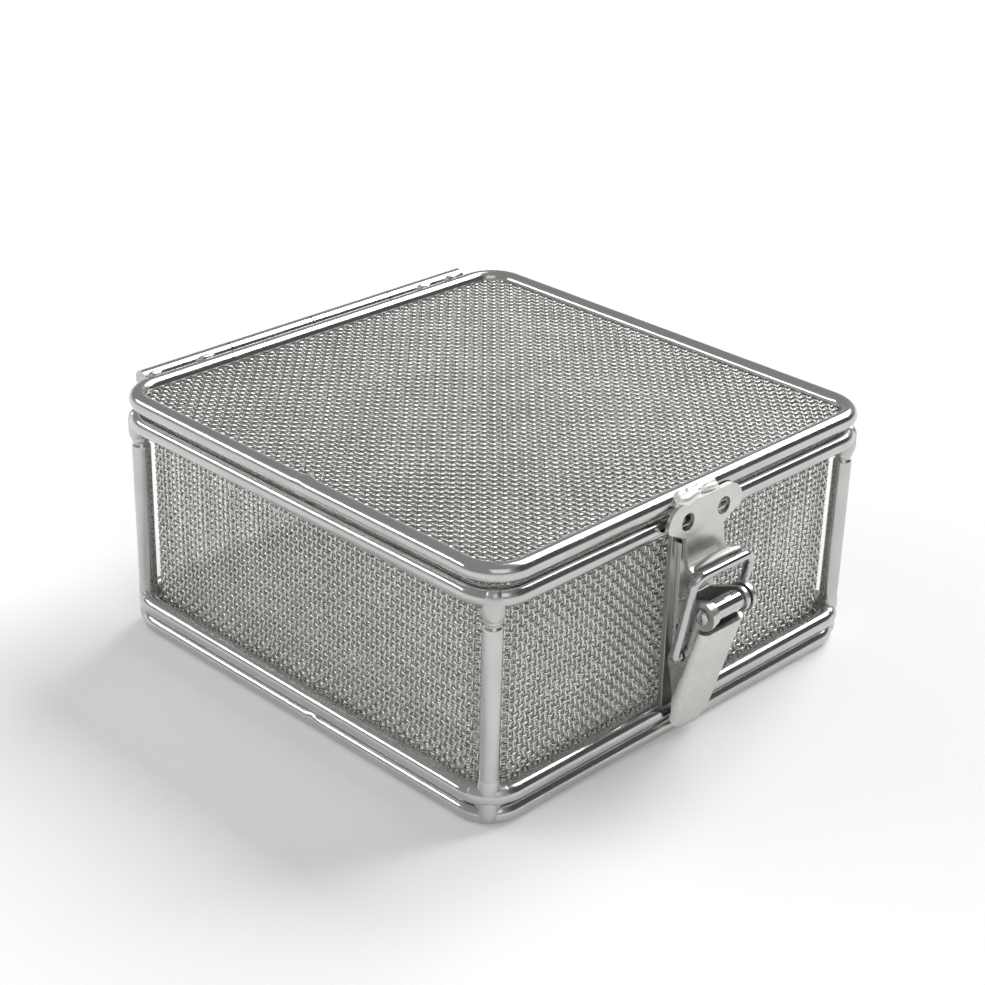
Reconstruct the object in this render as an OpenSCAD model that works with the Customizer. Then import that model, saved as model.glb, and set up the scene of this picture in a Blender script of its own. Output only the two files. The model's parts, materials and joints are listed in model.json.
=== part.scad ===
// Hinged wire-mesh sterilizing basket with a toggle latch, in millimetres.
// The latch faces -Y, the hinge is at +Y, and Z rises from the standing plane.
// The origin is the middle of the basket, on that plane.

/* [Frame] */
// Width over the rods
basket_w = 140; // [110:1:300]
// Depth over the rods
basket_d = 140; // [110:1:300]
// Height between the middles of the bottom ring and the top ring
body_h = 52.7; // [48:0.1:120]
// Diameter of the rods of the rings and posts
rod_d = 5; // [4:0.1:7]
// Corner radius of the rings, to the middle of the rod
corner_r = 9; // [6:0.5:20]
// Gap between the foot ring and the bottom ring
foot_gap = 0.5; // [0.2:0.1:2]
// How far the foot ring stands inside the other rings
foot_inset = 0.7; // [0:0.1:2]
// Gap between the closed lid and the top ring
lid_gap = 1.1; // [0.5:0.1:3]
// Radius of the weld beads at the corners of the foot ring
corner_weld_r = 2.6; // [1.5:0.1:3.2]

/* [Mesh] */
// Thickness of the mesh between its ridges
mesh_t = 0.6; // [0.4:0.1:1.2]
// Height of the ridges on each face of the mesh
ridge_h = 0.3; // [0.1:0.1:0.6]
// Width of the ridges
ridge_w = 0.9; // [0.4:0.1:1.6]
// Width of the mesh left between two gaps
mesh_bar_w = 2; // [1.2:0.1:3]
// Outer radius of the wall's corners
mesh_corner_r = 8.5; // [7:0.5:20]
// Gaps along each wall
wall_cols = 13; // [4:1:17]
// Gaps up each wall
wall_rows = 6; // [2:1:7]
// Gaps each way in the lid and in the floor
panel_gaps = 10; // [4:1:10]
// Width of the plain border round the gaps of the lid and of the floor
panel_margin = 4; // [2:0.5:8]
// How far the top of the wall stays below the top of the top ring
wall_top_gap = 1; // [0.5:0.1:2]
// How far the lid's mesh is let into its ring
panel_bite = 0.8; // [0.3:0.1:1.5]

/* [Hinge] */
// Distance from each end of the row of knuckles to the side of the basket
hinge_end = 12; // [5:0.5:34]
// Outer diameter of the knuckles
knuckle_d = 5; // [4:0.1:7]
// Diameter of the hinge pin
hinge_pin_d = 2.5; // [1.5:0.1:3]
// Running clearance on the radius of the hinge pin
pin_clear = 0.05; // [0.02:0.01:0.1]
// Gap between two knuckles
knuckle_gap = 0.4; // [0.3:0.1:1]
// Gap between the knuckles and the lid ring
hinge_gap = 0.4; // [0.3:0.1:1]
// Width of the two leaves that carry the middle knuckles
leaf_w = 16; // [6:0.5:22]
// Thickness of these leaves
leaf_t = 2; // [1:0.1:3]
// Length of the weld beads between the outer knuckles and the lid ring
hinge_weld_len = 6; // [3:0.5:10]

/* [Catch] */
// Thickness of the catch plate
plate_t = 1.2; // [0.8:0.1:1.4]
// Width over the two lobes of the catch plate
plate_w = 27.4; // [25:0.2:40]
// Height of the top of the catch plate above the middle of the lid ring
plate_rise = 0.4; // [-1:0.1:1.5]
// Radius of the upper corners of the lobes
lobe_r = 5.6; // [4:0.1:5.8]
// Radius of the lower corners of the lobes
lobe_low_r = 1.5; // [0.8:0.1:3]
// Drop of the shoulders between the lobes and the neck
shoulder_drop = 2.6; // [1.5:0.1:4]
// Distance between the two holes
hole_pitch = 13.3; // [12:0.1:16]
// Diameter of the holes
hole_d = 4.6; // [3:0.1:5]
// Height of the holes below the middle of the lid ring
hole_drop = 4.9; // [4.5:0.1:6]
// Width of the neck
neck_w = 14; // [9:0.5:16]
// Gap between the catch plate and the rings behind it
plate_gap = 0.7; // [0.5:0.1:2]
// Depth below the middle of the lid ring where the neck starts to lean outward
lean_drop = 9.5; // [9:0.1:12]
// Outward lean of the neck above the hook, in degrees
neck_lean = 10; // [4:0.5:14]
// Width of the mouth of the hook
hook_gap = 2.8; // [2.7:0.1:4]
// Depth of the middle of the hook's bend below the middle of the lid ring
hook_drop = 15.7; // [14:0.1:18]
// Width of the lip of the hook at its rim
lip_w = 17.8; // [16:0.2:18]
// Height of the middle of the rim above the middle of the bend
lip_h = 3.2; // [2.6:0.1:5]
// Outward lean of the lip, in degrees
lip_lean = 12; // [6:0.5:14]
// Radius of the curved rim of the lip
rim_r = 19.5; // [17:0.5:60]
// Length of the weld bead on top of the catch plate
catch_weld_len = 17; // [10:0.5:22]
// Radius of that bead
catch_weld_r = 1.6; // [1:0.1:1.8]

/* [Latch] */
// Height of the lever's pivot below the middle of the top ring
pivot_drop = 21; // [18:0.5:24]
// Distance of the lever's pivot in front of the rings
pivot_out = 9.2; // [8.5:0.1:12]
// Thickness of the latch's sheet metal
sheet_t = 1.2; // [0.8:0.1:1.6]
// Width of the lever
lever_w = 16.2; // [15.8:0.1:24]
// Length of the lever from its pivot to its tip
lever_len = 37.6; // [34:0.1:38]
// Lean of the closed lever from upright, in degrees
lever_lean = 16.5; // [14:0.5:17]
// Outer bend radius of the lever's channel
lever_bend_r = 2.4; // [1.3:0.1:3]
// Radius of the round ends of the lever at its pivot
lever_eye_r = 3.8; // [3.2:0.1:4]
// Distance of the lever's front face from the pivot
lever_face = 2.7; // [2.5:0.1:3.5]
// Radius of the corners of the lever's tip
lever_tip_r = 6.4; // [3:0.1:7.5]
// Diameter of the pivot pin
pivot_pin_d = 3; // [2:0.1:3.5]
// Diameter of the pin's heads
pivot_head_d = 4.2; // [3.6:0.1:6]
// Diameter of the spacer tube between the ears
spacer_d = 5.2; // [4.5:0.1:6]
// Radius of the ears of the base at the pivot
ear_r = 3.4; // [2.8:0.1:3.4]
// Side clearance between the ears and the lever
ear_clear = 0.5; // [0.3:0.1:1]
// Height of the latch base
base_h = 35; // [30:0.5:36]
// Diameter of the fixing holes in the latch base
base_hole_d = 3.4; // [2:0.1:4]
// Width of the plate behind the latch
back_plate_w = 17.2; // [14:0.1:30]
// Thickness of the plate behind the latch
back_plate_t = 1.5; // [1:0.1:2]

/* [Bail] */
// Diameter of the bail's wire
bail_d = 2.4; // [1.8:0.1:2.6]
// Distance of the bail's pivot below the lever's pivot, along the lever
bail_pivot_drop = 14.1; // [12:0.1:16]
// Distance of the bail's pivot behind the lever's pivot
bail_pivot_in = 1.7; // [1:0.1:2.5]
// Diameter of the holes in the lever for the ends of the bail
bail_hole_d = 3.1; // [3:0.1:3.6]
// Side clearance between the lever and the arms of the bail
bail_side_gap = 1.4; // [1.2:0.1:3]
// Bend radius of the bail's shoulders
shoulder_r = 3; // [2.5:0.1:5]
// Bend radius of the ends of the bail
curl_r = 1.6; // [1.4:0.1:2.2]
// Gap between the resting bail and the hook
bail_rest_gap = 0.3; // [0.3:0.1:1]

/* [Hidden] */
$fn = 64;

// Colours
steel = "lightgray";
bright = "silver";
cloth = "darkgray";
bead = "gainsboro";
dark = "dimgray";

// Frame
rod_r = rod_d / 2;
half_w = basket_w / 2 - rod_r;
half_d = basket_d / 2 - rod_r;
front_y = -basket_d / 2;
foot_z = rod_r;
bottom_z = foot_z + rod_d + foot_gap;
top_z = bottom_z + body_h;
lid_z = top_z + rod_d + lid_gap;
// A post stands on the middle of a ring's corner
post_inset = corner_r * (1 - cos(45));

// Mesh
wall_hw = half_w - rod_r;
wall_hd = half_d - rod_r;
core_hw = wall_hw - ridge_h;
core_hd = wall_hd - ridge_h;
core_corner_r = mesh_corner_r - ridge_h;
wall_z0 = bottom_z - mesh_t;
wall_z1 = top_z + rod_r - wall_top_gap;
window_z0 = bottom_z + rod_r;
window_z1 = top_z - rod_r;
window_h = window_z1 - window_z0;
window_mid = (window_z0 + window_z1) / 2;

// Hinge
hinge_len = basket_w - 2 * hinge_end;
hinge_y = half_d + rod_r + hinge_gap + knuckle_d / 2;
hinge_z = lid_z;
knuckle_len = hinge_len / 4;
leaf_clear = 0.4;
leaf_x = knuckle_len / 2;
hinge_weld_r = 1.1;
hinge_weld_rise = 1.7;

// Catch
plate_y = front_y - plate_gap - plate_t;
plate_top = lid_z + plate_rise;
hole_z = lid_z - hole_drop;
lobe_z = plate_top - lobe_r;
lobe_low_x = plate_w / 2 - lobe_low_r;
neck_z = lobe_z - lobe_low_r - shoulder_drop;
// The shoulder runs from the neck to a lower corner, and touches it at this angle
shoulder_run = norm([lobe_low_x - neck_w / 2, lobe_z - neck_z]);
shoulder_a = atan2(lobe_z - neck_z, lobe_low_x - neck_w / 2) - asin(lobe_low_r / shoulder_run);
// The neck leans from here, and its front face runs into the inside of the bend
lean_z = lid_z - lean_drop;
hook_r = hook_gap / 2;
hook_out_r = hook_r + plate_t;
hook_z = lid_z - hook_drop;
hook_in_z = hook_z - hook_r * sin(neck_lean);
hook_in_y = plate_y - (lean_z - hook_in_z) * tan(neck_lean);
hook_y = hook_in_y - hook_r * cos(neck_lean);
rim_z = hook_z + lip_h;
catch_weld_rise = 1;
catch_weld_x = -0.13 * catch_weld_len;

// Latch
pivot_y = front_y - pivot_out;
pivot_z = top_z - pivot_drop;
lever_inner_w = lever_w - 2 * sheet_t;
ear_outer_w = lever_inner_w - 2 * ear_clear;
back_plate_y = -half_d;
base_back_y = back_plate_y - back_plate_t;
base_front_y = base_back_y - sheet_t;
base_top = pivot_z + base_h * 0.45;
base_bottom = base_top - base_h;
ear_root_h = 13;
lever_top = -4.9;
lever_eye_cut = 0.4;
flange_hole_land = 3.1;
// The flanges run out before the tip, in two slopes
runout_end = 6;
runout_mid = 12;
runout_rise = 2.4;
tip_start = lever_len - lever_tip_r;
head_gap = 0.2;
head_t = 0.8;
head_edge_t = 0.25;
spacer_end_gap = 0.2;

// Bail
bail_r = bail_d / 2;
bail_x = lever_w / 2 + bail_side_gap + bail_r;
bail_y = pivot_y + bail_pivot_in * cos(lever_lean) + bail_pivot_drop * sin(lever_lean);
bail_z = pivot_z + bail_pivot_in * sin(lever_lean) - bail_pivot_drop * cos(lever_lean);
// Latched, the bail's crossbar lies in the bottom of the hook, and this sets the length of its arms
bail_len = norm([bail_y - hook_y, hook_z - hook_r + bail_r - bail_z]);
// At rest it leans on the outside of the hook
rest_reach = hook_out_r + bail_rest_gap + bail_r;
hook_dist = norm([bail_y - hook_y, hook_z - bail_z]);
rest_turn = acos((bail_len ^ 2 + hook_dist ^ 2 - rest_reach ^ 2) / (2 * bail_len * hook_dist));
bail_lean = atan2(bail_y - hook_y, hook_z - bail_z) + rest_turn;
stub_x = lever_inner_w / 2 - 1;

// ---- Helpers ----

// A profile in Y and Z, swept along X over a length about the middle
module along_x(length) {
    rotate([90, 0, 90])
        translate([0, 0, -length / 2])
            linear_extrude(length) children();
}

// An outline in X and Z, given a thickness towards -Y from the plane Y = 0
module toward_front(thickness) {
    rotate([90, 0, 0])
        linear_extrude(thickness) children();
}

// Rectangle with round corners about the middle
module rounded_rect(hw, hd, r) {
    square([2 * (hw - r), 2 * hd], center = true);
    square([2 * hw, 2 * (hd - r)], center = true);
    for (sx = [-1, 1], sy = [-1, 1])
        translate([sx * (hw - r), sy * (hd - r)])
            circle(r);
}

// Closed ring of round rod with round corners, at height z
module rod_ring(hw, hd, r, z) {
    translate([0, 0, z]) {
        for (s = [-1, 1]) {
            translate([-(hw - r), s * hd, 0])
                rotate([0, 90, 0]) cylinder(r = rod_r, h = 2 * (hw - r));
            translate([s * hw, hd - r, 0])
                rotate([90, 0, 0]) cylinder(r = rod_r, h = 2 * (hd - r));
        }
        for (i = [0 : 3])
            translate([[1, -1, -1, 1][i] * (hw - r), [1, 1, -1, -1][i] * (hd - r), 0])
                rotate([0, 0, 90 * i])
                    rotate_extrude(angle = 90) translate([r, 0]) circle(rod_r);
    }
}

module main_ring(z) {
    rod_ring(half_w, half_d, corner_r, z);
}

// Places its children at the four corners of the frame
module at_corner(sx, sy) {
    translate([sx * (half_w - post_inset), sy * (half_d - post_inset), 0]) children();
}

// Weld bead with round ends, lying along X
module bead_x(length, r) {
    rotate([0, 90, 0]) cylinder(r = r, h = length, center = true);
    for (s = [-1, 1])
        translate([s * length / 2, 0, 0]) sphere(r);
}

// ---- Frame ----

module foot_ring() {
    color(steel)
        rod_ring(half_w - foot_inset, half_d - foot_inset, corner_r - foot_inset, foot_z);
}

module bottom_ring() {
    color(steel) main_ring(bottom_z);
}

module top_ring() {
    color(steel) main_ring(top_z);
}

// A post's ends are coped to the rings
module post(sx, sy) {
    color(steel)
        difference() {
            at_corner(sx, sy)
                translate([0, 0, bottom_z]) cylinder(r = rod_r, h = body_h);
            main_ring(bottom_z);
            main_ring(top_z);
        }
}

// Beads that join the foot ring to the bottom ring
module corner_welds() {
    color(bead)
        difference() {
            for (sx = [-1, 1], sy = [-1, 1])
                at_corner(sx, sy)
                    translate([0, 0, (foot_z + bottom_z) / 2]) sphere(corner_weld_r);
            rod_ring(half_w - foot_inset, half_d - foot_inset, corner_r - foot_inset, foot_z);
            main_ring(bottom_z);
        }
}

// ---- Mesh ----

// Square gaps in rows and columns over a field w by h about the middle
module gaps(w, h, cols, rows) {
    pitch_x = w / cols;
    pitch_y = h / rows;
    for (i = [0 : cols - 1], j = [0 : rows - 1])
        translate([(i + 0.5) * pitch_x - w / 2, (j + 0.5) * pitch_y - h / 2])
            square([pitch_x - mesh_bar_w, pitch_y - mesh_bar_w], center = true);
}

// Ridges over the bars between the columns of a field w wide, each length long
module ridges(w, cols, length) {
    for (i = [0 : cols])
        translate([i * w / cols - w / 2, 0])
            square([ridge_w, length], center = true);
}

// The gaps of two opposite sides of the wall, cut in one go
module wall_gaps(length, depth) {
    translate([0, depth, window_mid])
        toward_front(2 * depth) gaps(length, window_h, wall_cols, wall_rows);
}

// The ridges of one side of the wall, rooted in the middle of its thickness, its outer face at Y = 0
module wall_ridges(length) {
    root = mesh_t / 2;
    // Upright ridges outside
    translate([0, ridge_h + root, window_mid])
        toward_front(ridge_h + root)
            intersection() {
                ridges(length, wall_cols, window_h);
                square([length, window_h], center = true);
            }
    // Level ridges inside
    translate([0, 2 * ridge_h + mesh_t, window_mid])
        toward_front(ridge_h + root)
            rotate(90) ridges(window_h, wall_rows, length);
}

// The wall is one strip, bent round four corners
module wall_mesh() {
    straight_w = 2 * (wall_hw - mesh_corner_r);
    straight_d = 2 * (wall_hd - mesh_corner_r);
    color(cloth) {
        difference() {
            translate([0, 0, wall_z0])
                linear_extrude(wall_z1 - wall_z0)
                    difference() {
                        rounded_rect(core_hw, core_hd, core_corner_r);
                        rounded_rect(core_hw - mesh_t, core_hd - mesh_t, core_corner_r - mesh_t);
                    }
            wall_gaps(straight_w, wall_hd);
            rotate(90) wall_gaps(straight_d, wall_hw);
        }
        for (turn = [0, 180]) {
            rotate(turn) translate([0, -wall_hd, 0]) wall_ridges(straight_w);
            rotate(turn + 90) translate([0, -wall_hw, 0]) wall_ridges(straight_d);
        }
    }
}

// Flat mesh with ridges along Y above and along X below, its middle at height z
module flat_mesh(hw, hd, r, z) {
    field_w = 2 * (hw - panel_margin);
    field_d = 2 * (hd - panel_margin);
    translate([0, 0, z - mesh_t / 2])
        linear_extrude(mesh_t)
            difference() {
                rounded_rect(hw, hd, r);
                gaps(field_w, field_d, panel_gaps, panel_gaps);
            }
    // The ridges are rooted in the middle of the thickness
    translate([0, 0, z])
        linear_extrude(mesh_t / 2 + ridge_h) ridges(field_w, panel_gaps, field_d);
    translate([0, 0, z - mesh_t / 2 - ridge_h])
        linear_extrude(mesh_t / 2 + ridge_h)
            rotate(90) ridges(field_d, panel_gaps, field_w);
}

// The floor fills the wall's lower edge
module floor_mesh() {
    color(cloth)
        flat_mesh(core_hw - mesh_t, core_hd - mesh_t, core_corner_r - mesh_t, bottom_z);
}

// ---- Hinge ----

module knuckle(x0, x1) {
    color(steel)
        translate([x0, hinge_y, hinge_z])
            rotate([0, 90, 0])
                difference() {
                    cylinder(d = knuckle_d, h = x1 - x0);
                    translate([0, 0, -1]) cylinder(r = hinge_pin_d / 2 + pin_clear, h = x1 - x0 + 2);
                }
}

module hinge_knuckle(side) {
    a = side * knuckle_gap / 2;
    b = side * (knuckle_len - knuckle_gap / 2);
    knuckle(min(a, b), max(a, b));
}

// A leaf rises from the back of the top ring to a knuckle of the body
module hinge_leaf(side) {
    leaf_front = basket_d / 2 + leaf_clear;
    color(steel)
        difference() {
            translate([side * leaf_x, 0, 0])
                along_x(leaf_w)
                    polygon([
                        [half_d + rod_r / 2, top_z - rod_r / 2],
                        [leaf_front + leaf_t, top_z - rod_r / 2],
                        [leaf_front + leaf_t, hinge_z],
                        [leaf_front, hinge_z],
                        [leaf_front, top_z + rod_r / 2],
                        [half_d + rod_r / 2, top_z + rod_r / 2]
                    ]);
            main_ring(top_z);
            translate([0, hinge_y, hinge_z])
                rotate([0, 90, 0]) cylinder(d = knuckle_d, h = hinge_len, center = true);
        }
}

module hinge_pin() {
    color(dark)
        translate([0, hinge_y, hinge_z])
            rotate([0, 90, 0]) cylinder(d = hinge_pin_d, h = hinge_len, center = true);
}

// ---- Lid ----

module lid_ring() {
    color(steel) main_ring(lid_z);
}

module lid_mesh() {
    color(cloth)
        difference() {
            flat_mesh(
                half_w - rod_r + panel_bite, half_d - rod_r + panel_bite,
                corner_r - rod_r + panel_bite, lid_z
            );
            main_ring(lid_z);
        }
}

module lid_knuckle(side) {
    a = side * (knuckle_len + knuckle_gap / 2);
    b = side * hinge_len / 2;
    knuckle(min(a, b), max(a, b));
}

// Two beads hold each outer knuckle to the lid ring
module lid_knuckle_welds() {
    groove_y = half_d + rod_r + hinge_gap / 2;
    color(bead)
        difference() {
            for (side = [-1, 1], place = [0.2, 0.8])
                translate([side * knuckle_len * (1 + place), groove_y, lid_z + hinge_weld_rise])
                    bead_x(hinge_weld_len, hinge_weld_r);
            main_ring(lid_z);
            translate([0, hinge_y, hinge_z])
                rotate([0, 90, 0]) cylinder(d = knuckle_d, h = hinge_len, center = true);
        }
}

// ---- Catch ----

// Front view of the plate: two lobes with holes over a narrower neck
module plate_outline() {
    lobe_x = plate_w / 2 - lobe_r;
    touch_x = lobe_low_x + lobe_low_r * sin(shoulder_a);
    touch_z = lobe_z - lobe_low_r * cos(shoulder_a);
    difference() {
        union() {
            translate([-lobe_x, lobe_z]) square([2 * lobe_x, lobe_r]);
            for (s = [-1, 1]) {
                intersection() {
                    translate([s * lobe_x, lobe_z]) circle(lobe_r);
                    translate([-plate_w / 2, lobe_z]) square([plate_w, lobe_r]);
                }
                translate([s * lobe_low_x, lobe_z]) circle(lobe_low_r);
            }
            polygon([
                [-lobe_low_x, lobe_z],
                [-touch_x, touch_z],
                [-neck_w / 2, neck_z],
                [-neck_w / 2, lean_z],
                [neck_w / 2, lean_z],
                [neck_w / 2, neck_z],
                [touch_x, touch_z],
                [lobe_low_x, lobe_z]
            ]);
        }
        for (s = [-1, 1])
            translate([s * hole_pitch / 2, hole_z]) circle(d = hole_d);
    }
}

// Side view of the leaning part of the neck, down to the bend
module neck_profile() {
    polygon([
        [plate_y, lean_z],
        [plate_y + plate_t, lean_z],
        [plate_y + plate_t, lean_z - plate_t * tan(neck_lean / 2)],
        [hook_in_y + plate_t * cos(neck_lean), hook_in_z - plate_t * sin(neck_lean)],
        [hook_in_y, hook_in_z]
    ]);
}

// Side view of the bend between two angles
module bend_profile(a, b) {
    far = 2 * hook_out_r;
    translate([hook_y, hook_z])
        intersection() {
            difference() {
                circle(hook_out_r);
                circle(hook_r);
            }
            polygon([
                [0, 0],
                [far * cos(a), far * sin(a)],
                [far * cos((a + b) / 2), far * sin((a + b) / 2)],
                [far * cos(b), far * sin(b)]
            ]);
        }
}

// Side view of the lip, from the end of the bend upward
module lip_profile() {
    len = 2 * lip_h;
    translate([hook_y, hook_z])
        rotate(lip_lean)
            translate([-hook_out_r, 0]) square([plate_t, len]);
}

// The hook widens from the neck to the rim of its lip, and the rim is an arc
module hook() {
    rim_end_z = rim_z - rim_r + sqrt(rim_r ^ 2 - lip_w ^ 2 / 4);
    bottom_of_bend = hook_z - hook_out_r;
    along_x(neck_w) {
        neck_profile();
        bend_profile(270, 360 - neck_lean);
    }
    intersection() {
        along_x(lip_w) {
            bend_profile(180 + lip_lean, 270);
            lip_profile();
        }
        translate([0, hook_y + 2 * hook_out_r, 0])
            toward_front(4 * hook_out_r)
                intersection() {
                    translate([0, rim_z - rim_r]) circle(rim_r);
                    polygon([
                        [-neck_w / 2, bottom_of_bend],
                        [-lip_w / 2, rim_end_z],
                        [-lip_w / 2, rim_z],
                        [lip_w / 2, rim_z],
                        [lip_w / 2, rim_end_z],
                        [neck_w / 2, bottom_of_bend]
                    ]);
                }
    }
}

module catch_plate() {
    color(bright) {
        translate([0, front_y - plate_gap, 0])
            toward_front(plate_t) plate_outline();
        hook();
    }
}

// The bead that joins the catch plate to the lid ring, thicker towards its middle
module catch_weld() {
    color(bead)
        difference() {
            translate([catch_weld_x, front_y - plate_gap / 2, lid_z + catch_weld_rise]) {
                translate([-catch_weld_len / 5, 0, 0]) bead_x(catch_weld_len * 0.42, catch_weld_r);
                translate([catch_weld_len / 6, 0, 0.2]) bead_x(catch_weld_len * 0.48, 0.9 * catch_weld_r);
            }
            main_ring(lid_z);
            translate([0, front_y - plate_gap, 0])
                toward_front(plate_t) plate_outline();
        }
}

// ---- Latch ----

// Plate between the two rings that carries the latch
module latch_back_plate() {
    color(steel)
        difference() {
            translate([-back_plate_w / 2, base_back_y, bottom_z])
                cube([back_plate_w, back_plate_t, body_h]);
            main_ring(bottom_z);
            main_ring(top_z);
        }
}

// Base plate with two ears for the pivot pin
module latch_base() {
    color(bright)
        difference() {
            union() {
                translate([0, base_back_y, 0])
                    toward_front(sheet_t)
                        difference() {
                            translate([-ear_outer_w / 2, base_bottom]) square([ear_outer_w, base_h]);
                            for (z = [base_bottom + base_hole_d * 1.2, base_top - base_hole_d * 1.2])
                                translate([0, z]) circle(d = base_hole_d);
                        }
                for (s = [-1, 1])
                    translate([s * (ear_outer_w - sheet_t) / 2, 0, 0])
                        along_x(sheet_t) {
                            translate([pivot_y, pivot_z]) circle(ear_r);
                            polygon([
                                [pivot_y, pivot_z + ear_r],
                                [base_back_y, pivot_z + ear_root_h / 2],
                                [base_back_y, pivot_z - ear_root_h / 2],
                                [pivot_y, pivot_z - ear_r]
                            ]);
                        }
            }
            translate([0, pivot_y, pivot_z])
                rotate([0, 90, 0]) cylinder(d = pivot_pin_d, h = lever_w, center = true);
        }
}

module latch_spacer() {
    color(dark)
        translate([0, pivot_y, pivot_z])
            rotate([0, 90, 0])
                difference() {
                    cylinder(d = spacer_d, h = ear_outer_w - 2 * (sheet_t + spacer_end_gap), center = true);
                    cylinder(r = pivot_pin_d / 2 + pin_clear, h = lever_w, center = true);
                }
}

// The pin is riveted over into two low domes
module latch_pivot_pin() {
    head_x = lever_w / 2 + head_gap;
    head_r = pivot_head_d / 2;
    crown = head_t - head_edge_t;
    dome_r = (head_r ^ 2 + crown ^ 2) / (2 * crown);
    color(bright)
        translate([0, pivot_y, pivot_z])
            rotate([0, 90, 0]) {
                cylinder(d = pivot_pin_d, h = 2 * head_x, center = true);
                for (s = [0, 1])
                    mirror([0, 0, s])
                        translate([0, 0, head_x])
                            intersection() {
                                cylinder(r = head_r, h = head_t);
                                translate([0, 0, head_t - dome_r]) sphere(dome_r);
                            }
            }
}

// The lever's own axes start at its pivot, with Z along the lever and its face towards -Y
module lever_channel() {
    depth = lever_eye_r + bail_pivot_in + flange_hole_land;
    inner_bend = lever_bend_r - sheet_t;
    difference() {
        translate([0, depth - lever_face])
            rounded_rect(lever_w / 2, depth, lever_bend_r);
        translate([0, depth - lever_face + sheet_t])
            rounded_rect(lever_inner_w / 2, depth, inner_bend);
    }
}

// Side view of the lever below its eye: deep at the bail's hole, and flat at the tip
module lever_side() {
    back = bail_pivot_in + flange_hole_land;
    polygon([
        [-lever_face, lever_top],
        [-lever_face, -lever_len],
        [-lever_face + sheet_t, -lever_len],
        [-lever_face + sheet_t, -lever_len + runout_end],
        [-lever_face + runout_rise * sheet_t, -lever_len + runout_mid],
        [back, -bail_pivot_drop - flange_hole_land],
        [back, -bail_pivot_drop + flange_hole_land],
        [lever_eye_r - lever_eye_cut, lever_top]
    ]);
}

// Front view of the lever, with its rounded tip
module lever_front() {
    tip_x = lever_w / 2 - lever_tip_r;
    translate([-lever_w / 2, -tip_start]) square([lever_w, tip_start + lever_top]);
    translate([-tip_x, -lever_len]) square([2 * tip_x, lever_tip_r]);
    for (s = [-1, 1])
        translate([s * tip_x, -tip_start]) circle(lever_tip_r);
}

module latch_lever() {
    reach = lever_eye_r + lever_len;
    color(bright)
        translate([0, pivot_y, pivot_z])
            rotate([lever_lean, 0, 0])
                difference() {
                    union() {
                        intersection() {
                            translate([0, 0, -reach]) linear_extrude(reach) lever_channel();
                            along_x(lever_w) lever_side();
                            translate([0, reach, 0]) toward_front(2 * reach) lever_front();
                        }
                        for (s = [-1, 1])
                            translate([s * (lever_w - sheet_t) / 2, 0, 0])
                                along_x(sheet_t) {
                                    circle(lever_eye_r);
                                    polygon([
                                        [-lever_face + lever_bend_r, lever_top - 2],
                                        [lever_eye_r, lever_top - 2],
                                        [lever_eye_r, 0],
                                        [-lever_face + lever_bend_r, 0]
                                    ]);
                                }
                    }
                    rotate([0, 90, 0])
                        cylinder(r = pivot_pin_d / 2 + pin_clear, h = 2 * lever_w, center = true);
                    translate([0, bail_pivot_in, -bail_pivot_drop])
                        rotate([0, 90, 0]) cylinder(d = bail_hole_d, h = 2 * lever_w, center = true);
                }
}

// ---- Bail ----

// Round wire bent through a quarter turn in the plane of X and Z
module wire_bend(r) {
    rotate([90, 0, 0])
        rotate_extrude(angle = 90) translate([r, 0]) circle(bail_r);
}

module latch_bail() {
    arm_top = bail_len - shoulder_r;
    bar_half = bail_x - shoulder_r;
    color(bright)
        translate([0, bail_y, bail_z])
            rotate([bail_lean, 0, 0]) {
                translate([-bar_half, 0, bail_len])
                    rotate([0, 90, 0]) cylinder(r = bail_r, h = 2 * bar_half);
                for (s = [0, 1])
                    mirror([s, 0, 0]) {
                        translate([bail_x, 0, curl_r]) cylinder(r = bail_r, h = arm_top - curl_r);
                        translate([bar_half, 0, arm_top]) wire_bend(shoulder_r);
                        translate([bail_x - curl_r, 0, curl_r])
                            mirror([0, 0, 1]) wire_bend(curl_r);
                        translate([stub_x, 0, 0])
                            rotate([0, 90, 0]) cylinder(r = bail_r, h = bail_x - curl_r - stub_x);
                    }
            }
}

foot_ring();
bottom_ring();
top_ring();
post(-1, -1);  // post_front_left
post(1, -1);  // post_front_right
post(-1, 1);  // post_rear_left
post(1, 1);  // post_rear_right
corner_welds();
wall_mesh();
floor_mesh();
hinge_leaf(-1);  // hinge_leaf_left
hinge_leaf(1);  // hinge_leaf_right
hinge_knuckle(-1);  // hinge_knuckle_left
hinge_knuckle(1);  // hinge_knuckle_right
hinge_pin();
latch_back_plate();
latch_base();
latch_spacer();
latch_pivot_pin();
lid_ring();
lid_mesh();
lid_knuckle(-1);  // lid_knuckle_left
lid_knuckle(1);  // lid_knuckle_right
lid_knuckle_welds();
catch_plate();
catch_weld();
latch_lever();
latch_bail();
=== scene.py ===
"""A hinged sterilizing basket of steel rod and woven wire cloth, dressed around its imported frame.

The frame gives every rod, hinge part and latch part its place. This script weaves the cloth wire by wire,
sweeps the rods and the weld beads, rounds the edges of the pressed parts and gives everything its finish.
All places are in the frame's axes: the latch faces -Y, the hinge is at +Y, and Z rises from the floor.
"""

import json
import logging
import math
from dataclasses import dataclass, field
from enum import Enum

import bmesh
import bpy
import numpy as np
from mathutils import Matrix, Vector

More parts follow.
